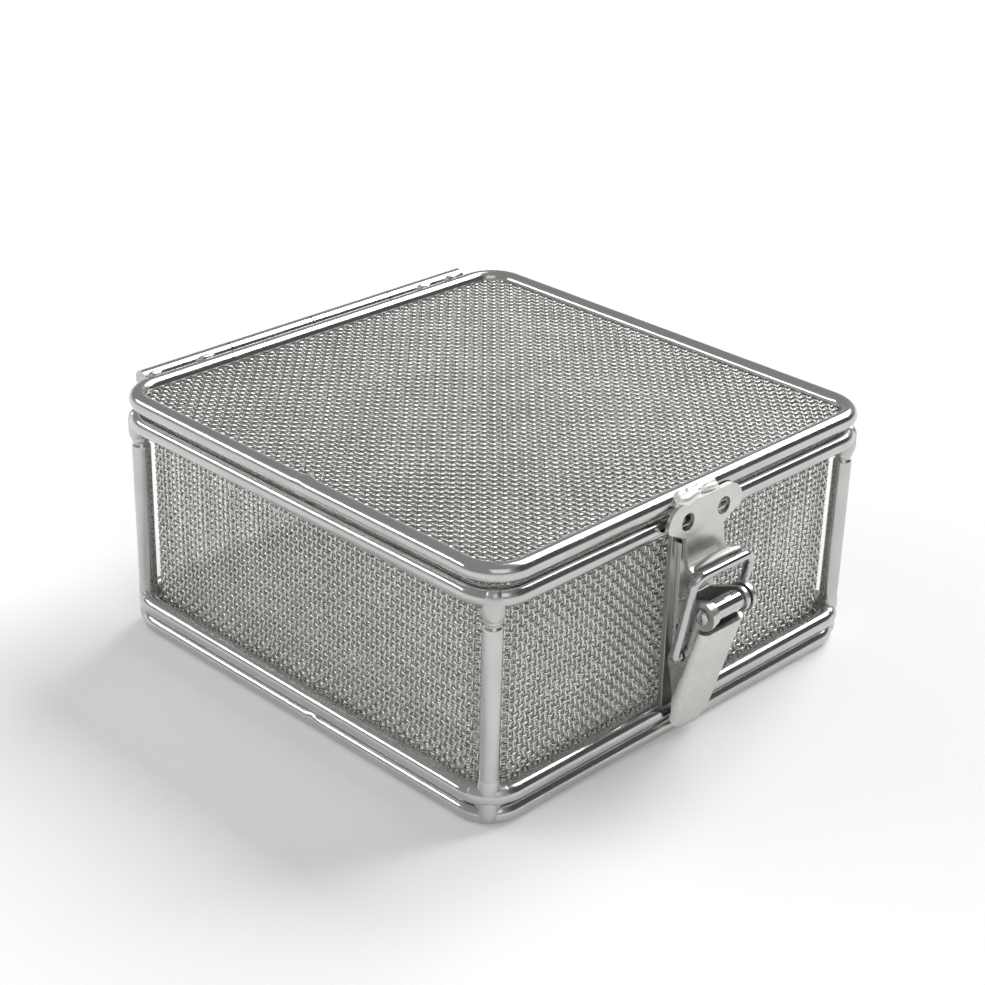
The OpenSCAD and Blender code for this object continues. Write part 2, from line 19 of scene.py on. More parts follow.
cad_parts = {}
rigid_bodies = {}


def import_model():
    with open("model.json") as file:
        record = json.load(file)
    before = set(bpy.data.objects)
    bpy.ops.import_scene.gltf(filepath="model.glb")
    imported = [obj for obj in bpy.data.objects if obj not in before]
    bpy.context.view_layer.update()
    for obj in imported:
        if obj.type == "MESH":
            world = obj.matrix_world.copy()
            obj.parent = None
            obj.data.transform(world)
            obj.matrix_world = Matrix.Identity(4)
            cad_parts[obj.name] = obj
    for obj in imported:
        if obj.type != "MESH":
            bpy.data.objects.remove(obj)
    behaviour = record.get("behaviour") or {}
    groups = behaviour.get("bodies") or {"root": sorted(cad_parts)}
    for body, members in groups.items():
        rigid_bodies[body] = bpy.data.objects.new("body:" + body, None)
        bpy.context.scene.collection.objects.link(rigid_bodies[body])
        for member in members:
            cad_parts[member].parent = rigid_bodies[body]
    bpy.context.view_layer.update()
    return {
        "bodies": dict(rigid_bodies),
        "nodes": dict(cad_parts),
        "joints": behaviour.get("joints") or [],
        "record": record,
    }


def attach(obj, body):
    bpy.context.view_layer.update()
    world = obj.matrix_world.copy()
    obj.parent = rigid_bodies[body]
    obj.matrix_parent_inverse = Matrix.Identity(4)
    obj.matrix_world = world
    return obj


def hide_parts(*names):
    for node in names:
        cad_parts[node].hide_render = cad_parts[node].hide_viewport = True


LOG = logging.getLogger("basket")
MM = 0.001

Floats = np.ndarray
Point = tuple[float, float, float]
Span = tuple[float, float]
Surface = tuple[Floats, list[Floats]]
Piece = bpy.types.Object
Tree = bpy.types.NodeTree
Socket = bpy.types.NodeSocket

UP = np.array([0.0, 0.0, 1.0])
X_AXIS = np.array([[1.0, 0.0, 0.0]])
Y_AXIS = np.array([[0.0, 1.0, 0.0]])
CORNERS = ((-1, -1, "front_left"), (1, -1, "front_right"), (-1, 1, "rear_left"), (1, 1, "rear_right"))
# Length over which the cloth wavers, in millimetres
WAVE_LENGTH = 14.0
# A bead's ends stop just short of a point
ROUND_END = 0.995
# Noise scales of the finishes, on coordinates in metres
CLOUD_SCALE, SPECK_SCALE, LINE_SCALE, PIT_SCALE = 75.0, 900.0, 2600.0, 1500.0


class Body(Enum):
    """The rigid bodies that pieces ride on."""

    BASKET = "basket"
    LID = "lid"
    LEVER = "lever"


class Slot(Enum):
    """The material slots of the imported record."""

    ROD = "rod_steel"
    CLOTH = "wire_cloth"
    WELD = "weld_bead"
    STRIP = "strip_steel"
    SHEET = "latch_sheet"
    POLISHED = "polished_steel"


# ---- meshes ----


def link_object(name: str, data: bpy.types.ID) -> Piece:
    """Makes an object from its data and links it to the scene."""
    obj = bpy.data.objects.new(name, data)
    bpy.context.scene.collection.objects.link(obj)
    return obj


def make_object(name: str, points: Floats, faces: list[Floats], smooth: bool = True) -> Piece:
    """Makes a mesh object from whole arrays.

    Args:
        name: The name of the piece.
        points: Vertices in millimetres, n by 3.
        faces: Arrays of vertex numbers, each m by k for m faces of k corners.
        smooth: Whether the faces are shaded smooth.

    Returns:
        The linked object, at the origin, with its place in its mesh.
    """
    mesh = bpy.data.meshes.new(name)
    mesh.vertices.add(len(points))
    mesh.vertices.foreach_set("co", (points * MM).astype(np.float32).ravel())
    corners = np.concatenate([f.ravel() for f in faces]).astype(np.int32)
    sizes = np.concatenate([np.full(len(f), f.shape[1]) for f in faces])
    starts = np.concatenate([[0], np.cumsum(sizes)[:-1]]).astype(np.int32)
    mesh.loops.add(len(corners))
    mesh.loops.foreach_set("vertex_index", corners)
    mesh.polygons.add(len(sizes))
    mesh.polygons.foreach_set("loop_start", starts)
    mesh.polygons.foreach_set("use_smooth", np.full(len(sizes), smooth))
    mesh.update(calc_edges=True)
    mesh.validate()
    return link_object(name, mesh)


def tube_grid(
    centres: Floats, side: Floats, normal: Floats, radius: Floats | float, sides: int, turn: float = 0.0
) -> Floats:
    """Carries a circle along many paths at once.

    A vertex is the path's point plus the radius times (cos(a) side + sin(a) normal), for evenly spaced a.

    Args:
        centres: Path points, shaped (..., rows, 3).
        side: Unit vectors across the path, broadcast to centres.
        normal: Unit vectors that make a right-handed set with side and the path's direction.
        radius: Radius at each row, or one radius.
        sides: Corners of the section.
        turn: Angle of the first corner.

    Returns:
        Vertices shaped (..., rows, sides, 3).
    """
    angle = turn + np.linspace(0.0, 2.0 * np.pi, sides, endpoint=False)
    spread = np.cos(angle)[:, None] * side[..., None, :] + np.sin(angle)[:, None] * normal[..., None, :]
    reach = np.broadcast_to(np.asarray(radius, float), centres.shape[:-1])
    return centres[..., None, :] + reach[..., None, None] * spread


def tube_faces(tubes: int, rows: int, sides: int, closed: bool) -> list[Floats]:
    """Numbers the faces of equal tubes laid one after another.

    Args:
        tubes: How many tubes there are.
        rows: Rings of vertices in each.
        sides: Vertices in a ring.
        closed: Whether each tube's last ring joins its first, or both ends get a cap.

    Returns:
        The quads, and the caps of open tubes.
    """
    spans = rows if closed else rows - 1
    t, i, j = np.meshgrid(np.arange(tubes), np.arange(spans), np.arange(sides), indexing="ij")
    base = t * rows * sides
    here, there = i * sides, ((i + 1) % rows) * sides
    after = (j + 1) % sides
    quads = np.stack([base + here + j, base + here + after, base + there + after, base + there + j], -1)
    faces = [quads.reshape(-1, 4)]
    if not closed:
        first = np.arange(tubes)[:, None] * rows * sides + np.arange(sides)[None, ::-1]
        last = np.arange(tubes)[:, None] * rows * sides + (rows - 1) * sides + np.arange(sides)[None, :]
        faces += [first, last]
    return faces


def wobble(where: Floats, seed: int, waves: int = 5) -> Floats:
    """Smooth repeatable unevenness.

    The value is a sum of sines of the coordinates, with seeded directions, rates and phases, scaled to about
    -1 to 1.

    Args:
        where: Places, shaped (..., k).
        seed: Seed of the draw.
        waves: How many sines are added.

    Returns:
        Values shaped like where without its last axis.
    """
    draw = np.random.default_rng(seed)
    rates = draw.normal(0.0, 1.0, (waves, where.shape[-1])) * np.linspace(0.6, 2.2, waves)[:, None]
    phases = draw.uniform(0.0, 2.0 * np.pi, waves)
    weights = 1.0 / np.linspace(1.0, 2.5, waves)
    return (np.sin(where @ rates.T + phases) * weights).sum(-1) / weights.sum() * 1.6


@dataclass(frozen=True)
class RoundedSquare:
    """A square outline with round corners, walked from the front left corner to the right.

    Attributes:
        half: Half of its width, in millimetres.
        corner: Radius of its corners.
    """

    half: float
    corner: float

    @property
    def straight(self) -> float:
        """Length of the straight part of one side."""
        return 2.0 * (self.half - self.corner)

    @property
    def quarter(self) -> float:
        """Length of one side and one corner."""
        return self.straight + 0.5 * np.pi * self.corner

    def walk(self, s: Floats) -> tuple[Floats, Floats]:
        """Places on the outline.

        A quarter is a straight run along the front, then an arc about the corner's centre. Later quarters are
        the same, turned by 90 degrees each.

        Args:
            s: Distances from the start of the front side.

        Returns:
            Points and outward unit normals, each shaped (..., 3) with z = 0.
        """
        number = np.floor(s / self.quarter)
        along = s - number * self.quarter
        flat = np.minimum(along, self.straight)
        angle = np.maximum(along - self.straight, 0.0) / self.corner
        nx, ny = np.sin(angle), -np.cos(angle)
        inset = self.half - self.corner
        x, y = flat - inset + self.corner * nx, -inset + self.corner * ny
        turn = number * 0.5 * np.pi
        c, k, zero = np.cos(turn), np.sin(turn), np.zeros_like(turn)
        points = np.stack([c * x - k * y, k * x + c * y, zero], -1)
        normals = np.stack([c * nx - k * ny, k * nx + c * ny, zero], -1)
        return points, normals


# ---- finishes ----


def new_group(name: str, inputs: dict[str, float | Point], outputs: dict[str, str]) -> Tree:
    """Makes an empty shader node group.

    Args:
        name: Its name.
        inputs: Names and default values; three numbers make a colour socket.
        outputs: Names and socket types.

    Returns:
        The group, with its Group Input and Group Output nodes.
    """
    tree = bpy.data.node_groups.new(name, "ShaderNodeTree")
    for label, value in inputs.items():
        is_colour = isinstance(value, tuple)
        kind = "NodeSocketColor" if is_colour else "NodeSocketFloat"
        socket = tree.interface.new_socket(label, in_out="INPUT", socket_type=kind)
        socket.default_value = (*value, 1.0) if is_colour else value
    for label, kind in outputs.items():
        tree.interface.new_socket(label, in_out="OUTPUT", socket_type=kind)
    tree.nodes.new("NodeGroupInput").name = "in"
    tree.nodes.new("NodeGroupOutput").name = "out"
    return tree


def add_noise(tree: Tree, vector: Socket, scale: float, detail: float) -> Socket:
    """Adds a noise texture.

    Args:
        tree: Where it goes.
        vector: The coordinates.
        scale: Noise scale on those coordinates.
        detail: Octaves.

    Returns:
        Its value output, near 0.5 on average.
    """
    node = tree.nodes.new("ShaderNodeTexNoise")
    node.inputs["Scale"].default_value = scale
    node.inputs["Detail"].default_value = detail
    tree.links.new(vector, node.inputs["Vector"])
    return node.outputs[0]


def add_math(tree: Tree, operation: str, *values: Socket | float) -> Socket:
    """Adds a math node.

    Args:
        tree: Where it goes.
        operation: The node's operation.
        values: Sockets or numbers, in order.

    Returns:
        Its output.
    """
    node = tree.nodes.new("ShaderNodeMath")
    node.operation = operation
    for socket, value in zip(node.inputs, values):
        if isinstance(value, (int, float)):
            socket.default_value = value
        else:
            tree.links.new(value, socket)
    return node.outputs[0]


def add_range(tree: Tree, value: Socket, low: float, high: float, to_low: float, to_high: float) -> Socket:
    """Maps a range of values onto another, clamped.

    Args:
        tree: Where the node goes.
        value: The value to map.
        low: Start of the range read.
        high: End of the range read.
        to_low: Result at low.
        to_high: Result at high.

    Returns:
        The mapped value.
    """
    node = tree.nodes.new("ShaderNodeMapRange")
    tree.links.new(value, node.inputs["Value"])
    for label, number in zip(("From Min", "From Max", "To Min", "To Max"), (low, high, to_low, to_high)):
        node.inputs[label].default_value = number
    return node.outputs["Result"]


def surface_group() -> Tree:
    """Cloudy steel: broad stains in the colour and finer haze in the roughness.

    Returns:
        The group, with outputs Color and Roughness.
    """
    tree = new_group(
        "cloudy_steel",
        {
            "Color": (0.6, 0.6, 0.6),
            "Stain Color": (0.4, 0.4, 0.38),
            "Stain": 0.2,
            "Roughness": 0.25,
            "Haze": 0.1,
        },
        {"Color": "NodeSocketColor", "Roughness": "NodeSocketFloat"},
    )
    source, sink, link = tree.nodes["in"], tree.nodes["out"], tree.links.new
    place = tree.nodes.new("ShaderNodeTexCoord").outputs["Object"]
    clouds = add_noise(tree, place, CLOUD_SCALE, 3.0)
    specks = add_noise(tree, place, SPECK_SCALE, 4.0)
    cover = add_range(tree, clouds, 0.42, 0.68, 0.0, 1.0)
    amount = add_math(tree, "MULTIPLY", cover, source.outputs["Stain"])
    mix = tree.nodes.new("ShaderNodeMix")
    mix.data_type = "RGBA"
    link(amount, mix.inputs["Factor"])
    link(source.outputs["Color"], mix.inputs["A"])
    link(source.outputs["Stain Color"], mix.inputs["B"])
    link(mix.outputs["Result"], sink.inputs["Color"])
    broad, fine = add_math(tree, "MULTIPLY", clouds, 0.6), add_math(tree, "MULTIPLY", specks, 0.4)
    blotch = add_math(tree, "ADD", broad, fine)
    haze = add_math(tree, "MULTIPLY", add_range(tree, blotch, 0.35, 0.65, -0.5, 1.0), source.outputs["Haze"])
    link(add_math(tree, "ADD", source.outputs["Roughness"], haze), sink.inputs["Roughness"])
    return tree


def grain_group() -> Tree:
    """Drawn or rolled grain: noise stretched along an axis, with some pits.

    Returns:
        The group, with output Height.
    """
    tree = new_group(
        "rolled_grain",
        {"Across X": 1.0, "Across Y": 1.0, "Across Z": 1.0, "Pits": 0.3},
        {"Height": "NodeSocketFloat"},
    )
    source, sink, link = tree.nodes["in"], tree.nodes["out"], tree.links.new
    place = tree.nodes.new("ShaderNodeTexCoord").outputs["Object"]
    stretch = tree.nodes.new("ShaderNodeCombineXYZ")
    for label in "XYZ":
        link(source.outputs[f"Across {label}"], stretch.inputs[label])
    scaled = tree.nodes.new("ShaderNodeVectorMath")
    scaled.operation = "MULTIPLY"
    link(place, scaled.inputs[0])
    link(stretch.outputs[0], scaled.inputs[1])
    lines = add_noise(tree, scaled.outputs[0], LINE_SCALE, 2.0)
    pits = add_range(tree, add_noise(tree, place, PIT_SCALE, 3.0), 0.3, 0.42, -1.0, 0.0)
    total = add_math(tree, "ADD", lines, add_math(tree, "MULTIPLY", pits, source.outputs["Pits"]))
    link(total, sink.inputs["Height"])
    return tree


@dataclass(frozen=True)
class SteelFinish:
    """One finish of stainless steel.

    Attributes:
        name: Name of its material.
        slot: The record's slot that it stands for.
        color: Colour of the clean metal.
        stain_color: Colour of its cloudy places.
        stain: Share of that colour there.
        roughness: Roughness of the clean metal.
        haze: How much rougher it gets in places.
        across: How fine the grain is along X, Y and Z.
        pits: Share of small pits in the grain.
        depth: Depth of the grain, in millimetres.
    """

    name: str
    slot: Slot
    color: Point
    stain_color: Point
    stain: float
    roughness: float
    haze: float
    across: Point
    pits: float
    depth: float

    def build(self, groups: dict[str, Tree]) -> bpy.types.Material:
        """Makes the material.

        Args:
            groups: The shared node groups by name.

        Returns:
            The material.
        """
        material = bpy.data.materials.new(self.name)
        material.use_nodes = True
        tree = material.node_tree
        shader = tree.nodes["Principled BSDF"]
        shader.inputs["Metallic"].default_value = 1.0
        surface = tree.nodes.new("ShaderNodeGroup")
        surface.node_tree = groups["cloudy_steel"]
        colors = (*self.color, 1.0), (*self.stain_color, 1.0)
        values = (*colors, self.stain, self.roughness, self.haze)
        for label, value in zip(("Color", "Stain Color", "Stain", "Roughness", "Haze"), values):
            surface.inputs[label].default_value = value
        tree.links.new(surface.outputs["Color"], shader.inputs["Base Color"])
        tree.links.new(surface.outputs["Roughness"], shader.inputs["Roughness"])
        grain = tree.nodes.new("ShaderNodeGroup")
        grain.node_tree = groups["rolled_grain"]
        for label, value in zip("XYZ", self.across):
            grain.inputs[f"Across {label}"].default_value = value
        grain.inputs["Pits"].default_value = self.pits
        bump = tree.nodes.new("ShaderNodeBump")
        bump.inputs["Strength"].default_value = 0.6
        bump.inputs["Distance"].default_value = self.depth * MM
        tree.links.new(grain.outputs["Height"], bump.inputs["Height"])
        tree.links.new(bump.outputs["Normal"], shader.inputs["Normal"])
        return material


FINISHES = {
    "rod": SteelFinish(
        "polished_rod", Slot.ROD, (0.57, 0.57, 0.56), (0.42, 0.42, 0.4), 0.35,
        0.13, 0.12, (1, 1, 1), 0.3, 0.004,
    ),
    "cloth": SteelFinish(
        "cloth_wire", Slot.CLOTH, (0.66, 0.66, 0.64), (0.46, 0.45, 0.43), 0.3,
        0.15, 0.06, (1, 1, 1), 0.2, 0.002,
    ),
    # Catch bead weld: its near-white colour is partly bright weld metal and partly a painted highlight
    "weld_painted_highlight": SteelFinish(
        "weld_metal_painted_highlight", Slot.WELD, (0.9, 0.9, 0.88), (0.68, 0.67, 0.64), 0.35,
        0.42, 0.14, (0.4, 0.4, 0.4), 0.4, 0.03,
    ),
    "weld": SteelFinish(
        "weld_metal", Slot.WELD, (0.6, 0.6, 0.59), (0.43, 0.43, 0.41), 0.45,
        0.28, 0.12, (0.4, 0.4, 0.4), 0.5, 0.016,
    ),
    "strip": SteelFinish(
        "rolled_strip", Slot.STRIP, (0.52, 0.52, 0.51), (0.38, 0.38, 0.37), 0.4,
        0.34, 0.1, (1, 1, 0.08), 0.3, 0.004,
    ),
    "sheet": SteelFinish(
        "tumbled_sheet", Slot.SHEET, (0.64, 0.64, 0.62), (0.5, 0.5, 0.48), 0.4,
        0.3, 0.1, (0.6, 0.6, 0.6), 0.4, 0.006,
    ),
    "polished": SteelFinish(
        "turned_steel", Slot.POLISHED, (0.55, 0.55, 0.55), (0.42, 0.42, 0.42), 0.2,
        0.07, 0.05, (1, 0.1, 0.1), 0.2, 0.002,
    ),
}


def break_edges(piece: Piece, width: float) -> None:
    """Rounds the sharp edges of a piece with a bevel.

    Args:
        piece: The piece.
        width: Width of the rounding, in millimetres.
    """
    bevel = piece.modifiers.new("broken edges", "BEVEL")
    bevel.width = width * MM
    bevel.segments = 2
    bevel.limit_method = "ANGLE"
    bevel.angle_limit = math.radians(32)
    bevel.harden_normals = True
    bevel.use_clamp_overlap = True


class Workshop:
    def __init__(self, frame: dict) -> None:
        """Builds the shared node groups and all materials.
        """
        self.nodes: dict[str, Piece] = frame["nodes"]
        groups = {tree.name: tree for tree in (surface_group(), grain_group())}
        self.materials = {key: finish.build(groups) for key, finish in FINISHES.items()}
        by_slot = {finish.slot.value: self.materials[key] for key, finish in FINISHES.items()}
        for node in self.nodes.values():
            for place in node.material_slots:
                place.material = by_slot[place.material.name.split(".")[0]]

    def hand_over(self, piece: Piece, body: Body, finish: str, *stands_for: str) -> Piece:
        """Gives a piece its finish and its body.

        Args:
            piece: The new piece.
            body: The body it rides on.
            finish: Key of its finish.
            stands_for: The frame's nodes that it replaces.

        Returns:
            The piece.
        """
        if not piece.data.materials:
            piece.data.materials.append(self.materials[finish])
        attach(piece, body.value)
        if stands_for:
            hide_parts(*stands_for)
        LOG.info("%s: %d faces, rides on %s", piece.name, len(piece.data.polygons), body.value)
        return piece

    def rounded(self, node: str, name: str, width: float, body: Body, finish: str) -> Piece:
        """Makes a copy of a pressed or turned part with its sharp edges broken.

        Args:
            node: The frame's node.
            name: Name of the copy.
            width: Width of the rounding, in millimetres.
            body: The body it rides on.
            finish: Key of its finish.

        Returns:
            The copy, which replaces the node.
        """
        work = bmesh.new()
        work.from_mesh(self.nodes[node].data)
        bmesh.ops.remove_doubles(work, verts=work.verts, dist=2e-6)
        bmesh.ops.dissolve_limit(work, angle_limit=math.radians(0.5), verts=work.verts, edges=work.edges)
        bmesh.ops.recalc_face_normals(work, faces=work.faces)
        clean = bpy.data.meshes.new(name)
        work.to_mesh(clean)
        work.free()
        for layer in [a for a in clean.attributes if a.name == "custom_normal"]:
            clean.attributes.remove(layer)
        clean.shade_smooth()
        piece = link_object(name, clean)
        break_edges(piece, width)
        clean.materials.clear()
        return self.hand_over(piece, body, finish, node)


# ---- rods ----


@dataclass
class RodFrame:
    """The rings and posts of round rod.

    Attributes:
        outline: Middle line of the full-size rings in plan.
        rod: Radius of the rods.
        foot_inset: How far the foot ring stands inside.
        foot_level: Height of the foot ring.
        bottom_level: Height of the bottom ring.
        top_level: Height of the top ring.
        lid_level: Height of the lid ring.
        joint_swell: How much thicker a ring is where its ends are welded together.
        joint_length: Length of that place.
        cap_foot: Height at which the weld caps on the posts end.
        undercut: Depth of the groove under those caps.
        joint_zone: How far finer sections reach from a ring's joint each way.
        waver: How much a rod's radius varies elsewhere.
        sides: Corners of a rod's section.
    """

    outline: RoundedSquare = field(default_factory=lambda: RoundedSquare(67.5, 9.0))
    rod: float = 2.5
    foot_inset: float = 0.7
    foot_level: float = 2.5
    bottom_level: float = 8.0
    top_level: float = 60.7
    lid_level: float = 66.8
    joint_swell: float = 0.27
    joint_length: float = 1.7
    cap_foot: float = 54.0
    undercut: float = 0.55
    joint_zone: float = 4.0
    waver: float = 0.012
    sides: int = 32

    def ring(
        self, name: str, outline: RoundedSquare, level: float, joint: float, rise: float, seed: int
    ) -> Piece:
        """One closed ring of rod.

        The radius grows by a bell curve at the welded joint, where the middle moves in by as much, and
        wavers by a hundredth elsewhere.

        Args:
            name: Name of the piece.
            outline: Middle line of the ring in plan.
            level: Height of that line.
            joint: Distance along the outline to the welded joint.
            rise: How far the bump there moves up, as a share of its swell.
            seed: Seed of the unevenness.

        Returns:
            The piece.
        """
        corner = np.linspace(outline.straight, outline.quarter, 17)[:-1]
        side = np.concatenate([np.linspace(0.0, outline.straight, 41)[:-1], corner])
        s = (side[None, :] + np.arange(4)[:, None] * outline.quarter).ravel()
        fine = joint + self.joint_zone * np.linspace(-1.0, 1.0, 33)
        s = np.sort(np.concatenate([s[np.abs(s - joint) > self.joint_zone + 0.2], fine]))
        place, normal = outline.walk(s)
        swell = self.joint_swell * np.exp(-(((s - joint) / self.joint_length) ** 2))
        turn = s * 2.0 * np.pi / (4.0 * outline.quarter)
        around = np.stack([np.cos(turn), np.sin(turn)], -1)
        radius = self.rod + swell + self.waver * (wobble(around * 9.0, seed) - 2.0)
        centres = place + level * UP + swell[:, None] * (rise * UP - normal)
        points = tube_grid(centres, UP[None], normal, radius, self.sides)
        return make_object(name, points.reshape(-1, 3), tube_faces(1, len(s), self.sides, True))

    def post(self, name: str, sx: int, sy: int, seed: int) -> Piece:
        """One corner post, from the middle of the bottom ring to the middle of the top ring.

        Args:
            name: Name of the piece.
            sx: Side along X, -1 or 1.
            sy: Side along Y, -1 or 1.
            seed: Seed of the unevenness.

        Returns:
            The piece.
        """
        inset = self.outline.half - self.outline.corner * (1.0 - math.cos(math.radians(45)))
        z = np.linspace(self.bottom_level, self.top_level, 150)
        bend = 0.05 * wobble(z[:, None] / 16.0, seed) * np.sin(np.pi * (z - z[0]) / (z[-1] - z[0]))
        centres = np.stack([sx * inset + bend, sy * inset + bend * 0.6, z], -1)
        undercut = self.undercut * np.exp(-(((z - self.cap_foot + 0.15) / 0.45) ** 2))
        radius = self.rod + self.waver * (wobble(z[:, None] / 9.0, seed + 40) - 1.0) - undercut
        points = tube_grid(centres, X_AXIS, Y_AXIS, radius, self.sides)
        return make_object(name, points.reshape(-1, 3), tube_faces(1, len(z), self.sides, False))

    def build(self, shop: Workshop) -> None:
        """Makes the rings and posts.

        Args:
            shop: Where the pieces go.
        """
        left_mid = -self.outline.quarter + self.outline.straight / 2.0
        whole = 4.0 * self.outline.quarter
        foot = RoundedSquare(self.outline.half - self.foot_inset, self.outline.corner - self.foot_inset)
        for name, outline, level, joint, rise, body in (
            ("foot_ring", foot, self.foot_level, left_mid + 3.8, 1.0, Body.BASKET),
            ("bottom_ring", self.outline, self.bottom_level, 1.6 * self.outline.quarter, 0.0, Body.BASKET),
            ("top_ring", self.outline, self.top_level, 1.45 * self.outline.quarter, 0.0, Body.BASKET),
            ("lid_ring", self.outline, self.lid_level, left_mid + 4.0, 0.0, Body.LID),
        ):
            piece = self.ring(f"{name}_rod", outline, level, joint % whole, rise, len(name))
            shop.hand_over(piece, body, "rod", name)
        for number, (sx, sy, word) in enumerate(CORNERS):
            piece = self.post(f"post_{word}_rod", sx, sy, 20 + number)
            shop.hand_over(piece, Body.BASKET, "rod", f"post_{word}")


# ---- wire cloth ----


@dataclass
class WireCloth:
    """Plain-woven wire cloth: each wire passes over one crossing wire and under the next.

    Attributes:
        wire: Diameter of the wires, in millimetres.
        pitch: Distance between neighbouring wires.
        sides: Corners of a wire's section where the cloth is seen from outside.
        hidden_sides: The same on the floor and the far walls.
        flat_waver: How far the wires of a flat panel waver.
        wall_waver: How far those of the walls do.
    """

    wire: float = 0.62
    pitch: float = 1.76
    sides: int = 5
    hidden_sides: int = 4
    flat_waver: float = 0.05
    wall_waver: float = 0.06

    def crimp(self, first: Floats, crossings: int) -> Floats:
        """Height of wires over the middle of the cloth at their samples.

        Samples alternate between the middle of a gap, where the height is zero, and a crossing, where the
        wire is one radius above or below. Its sign changes at each crossing and from wire to wire.

        Args:
            first: Sign of each wire at its first crossing.
            crossings: Crossings along each wire.

        Returns:
            Heights shaped (wires, 2 crossings + 1).
        """
        rows = np.zeros((len(first), 2 * crossings + 1))
        rows[:, 1::2] = first[:, None] * (1.0 - 2.0 * (np.arange(crossings) % 2))
        return rows * self.wire * 0.5

    def flat_run(
        self, name: str, half: float, corner: float, level: float, turned: bool, sag: float, sides: int
    ) -> Piece:
        """One direction of the wires in a flat panel.

        A wire runs along u at a fixed v, and ends at the panel's outline, a square with round corners. The
        whole cloth dips by sag times (1 - u^2)(1 - v^2), with u and v as shares of the half width.

        Args:
            name: Name of the piece.
            half: Half the panel's width.
            corner: Radius of the panel's corners.
            level: Height of the middle of the cloth.
            turned: False for wires along X, True for wires along Y.
            sag: Dip in the middle of the panel.
            sides: Corners of a wire's section.

        Returns:
            The piece.
        """
        count = int(2.0 * half / self.pitch) // 2 * 2 - 1
        pitch = 2.0 * half / (count + 1)
        v = (np.arange(count) - (count - 1) / 2.0) * pitch
        u = np.linspace(-half, half, 2 * count + 3)
        sign = (1.0 - 2.0 * (np.arange(count) % 2)) * (-1.0 if turned else 1.0)
        height = self.crimp(sign, count + 1)
        # A flat panel has its crossings at the even samples
        height[:, 2:-1:2], height[:, 1::2] = height[:, 1:-2:2], 0.0
        height[:, 0] = height[:, -1] = 0.0
        over = np.maximum(np.abs(v) - (half - corner), 0.0)
        reach = half - corner + np.sqrt(np.maximum(corner**2 - over**2, 0.0))
        along = np.clip(u[None, :], -reach[:, None], reach[:, None])
        shade = np.stack(np.broadcast_arrays(along, v[:, None]), -1) / WAVE_LENGTH
        dip = sag * (1 - (along / half) ** 2) * (1 - (v[:, None] / half) ** 2)
        lift = self.flat_waver * wobble(shade, 3) - dip
        bend = self.flat_waver * wobble(shade, 8 if turned else 7)
        across = v[:, None] + bend * np.cos(0.5 * np.pi * along / half)
        x, y = (across, along) if turned else (along, across)
        centres = np.stack([x, y, level + height + lift], -1)
        side = np.array([-1.0, 0.0, 0.0] if turned else [0.0, 1.0, 0.0])
        points = tube_grid(centres, side, UP, self.wire / 2.0, sides, np.pi / 2.0).reshape(-1, 3)
        quads, *caps = tube_faces(count, len(u), sides, False)
        # Past the outline a wire's samples fall on one place, and the quads between them are left out
        length = np.linalg.norm(points[quads[:, 0]] - points[quads[:, 3]], axis=1)
        return make_object(name, points, [quads[length > 1e-4], *caps])

    def wall_run(
        self, name: str, outline: RoundedSquare, stretch: Span, rise: Span, upright: bool, sides: int
    ) -> Piece:
        """One direction of the wires in a bent wall.

        Upright wires stand at even distances along the outline, and level wires follow it round the corners.
        A wire's point is the outline's point at distance s and height z, moved along the outward normal by
        its crimp, which has the other sign in the other direction, and by a smooth unevenness in s and z.

        Args:
            name: Name of the piece.
            outline: Middle line of the cloth in plan.
            stretch: Where this stretch begins along the outline, and its length.
            rise: Heights of the lower and the upper edge.
            upright: Whether the wires are the upright ones.
            sides: Corners of a wire's section.

        Returns:
            The piece.
        """
        (start, length), (low, high) = stretch, rise
        uprights, levels = self.counts(outline, length, high - low)
        wires, crossings = (uprights, levels) if upright else (levels, uprights)
        apart = ((np.arange(wires) + 0.5) / wires)[:, None]
        along = np.linspace(0.0, 1.0, 2 * crossings + 1)[None]
        s, z = (apart, along) if upright else (along, apart)
        s, z = start + length * s, low + (high - low) * z
        place, normal = outline.walk(s)
        sign = (1.0 - 2.0 * (np.arange(wires) % 2)) * (1.0 if upright else -1.0)
        grid = np.stack(np.broadcast_arrays(s, z), -1) / WAVE_LENGTH
        push = self.crimp(sign, crossings) + self.wall_waver * wobble(grid, 11)
        centres = place + push[..., None] * normal + z[..., None] * UP
        side = np.cross(normal, UP) if upright else UP
        points = tube_grid(centres, side, normal, self.wire / 2.0, sides, np.pi / 2.0)
        return make_object(name, points.reshape(-1, 3), tube_faces(wires, 2 * crossings + 1, sides, False))

    def counts(self, outline: RoundedSquare, length: float, rise: float) -> tuple[int, int]:
        """Wires that fit a stretch of wall, even round the whole outline.

        Args:
            outline: Middle line of the cloth in plan.
            length: Length of the stretch.
            rise: Height of the wall.

        Returns:
            Upright wires in the stretch, and level wires.
        """
        whole = 4.0 * outline.quarter
        quarter_count = 2 * round(whole / self.pitch / 8.0)
        return round(quarter_count * length / outline.quarter), round(rise / self.pitch)


